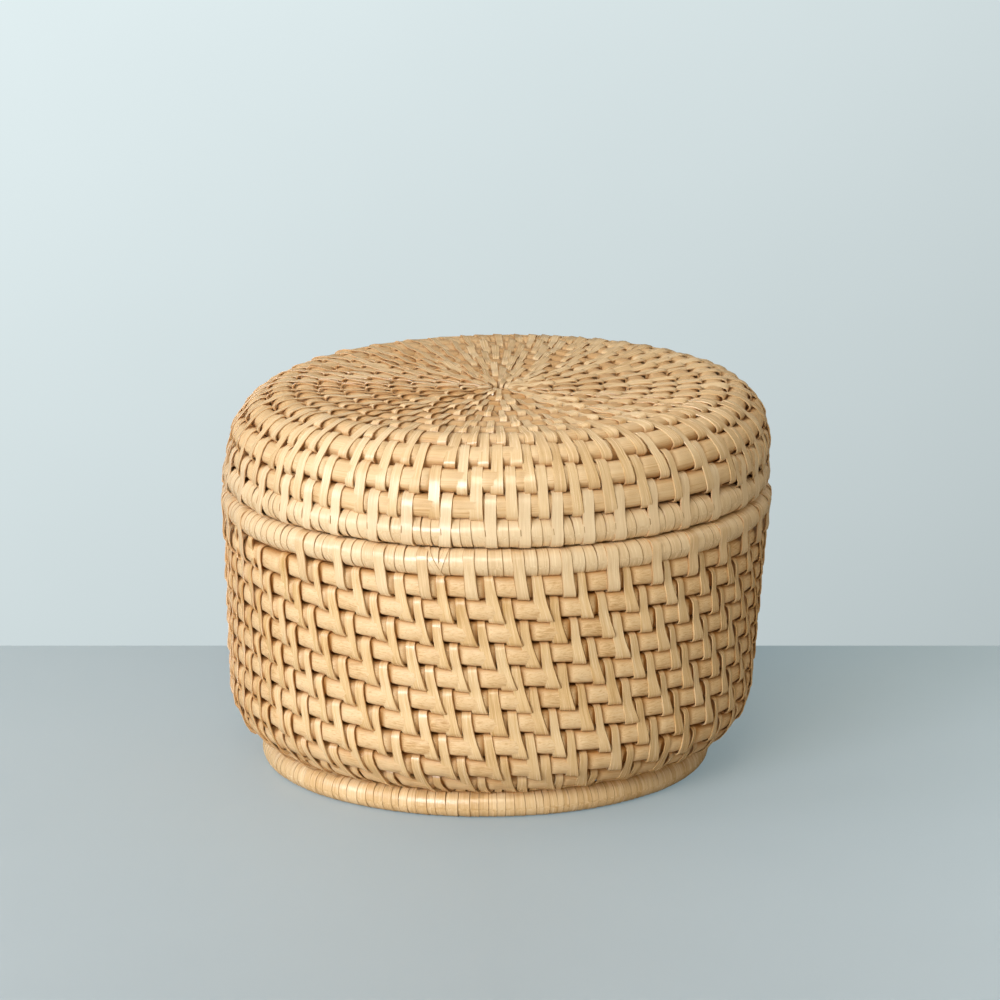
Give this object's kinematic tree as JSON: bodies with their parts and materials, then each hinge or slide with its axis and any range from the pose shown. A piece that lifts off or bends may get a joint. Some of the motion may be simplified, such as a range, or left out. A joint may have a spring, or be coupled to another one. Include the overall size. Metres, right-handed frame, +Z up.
{
  "type": "woven lidded box",
  "caption": "Round lidded box of coiled cane bound with flat peel, with wrapped rims and a foot ring. The lid lifts off.",
  "frame": {"origin": "centre of the circle that the foot ring stands on, at the table", "axes": "+Z up along the axis of the box and lid, +X to the right and -Y towards the viewer of the picture"},
  "size_m": [0.2028, 0.2028, 0.1419],
  "materials": {
    "coil_cane": "matte",
    "hoop_cane": "matte",
    "peel": "satin"
  },
  "bodies": {
    "box": {"box_coil": "coil_cane", "rim_hoop": "hoop_cane", "rim_winding": "peel", "foot_hoop": "hoop_cane", "foot_winding": "peel"},
    "lid": {"lid_coil": "coil_cane", "lid_rim_hoop": "hoop_cane", "lid_rim_winding": "peel", "seat_upper_hoop": "hoop_cane", "seat_upper_winding": "peel", "seat_lower_hoop": "hoop_cane", "seat_lower_winding": "peel"}
  },
  "joints": [
    {"name": "lid_lift", "type": "slide", "parent": "box", "child": "lid", "axis": [0, 0, 1], "range_m": [0, 0.15]}
  ]
}
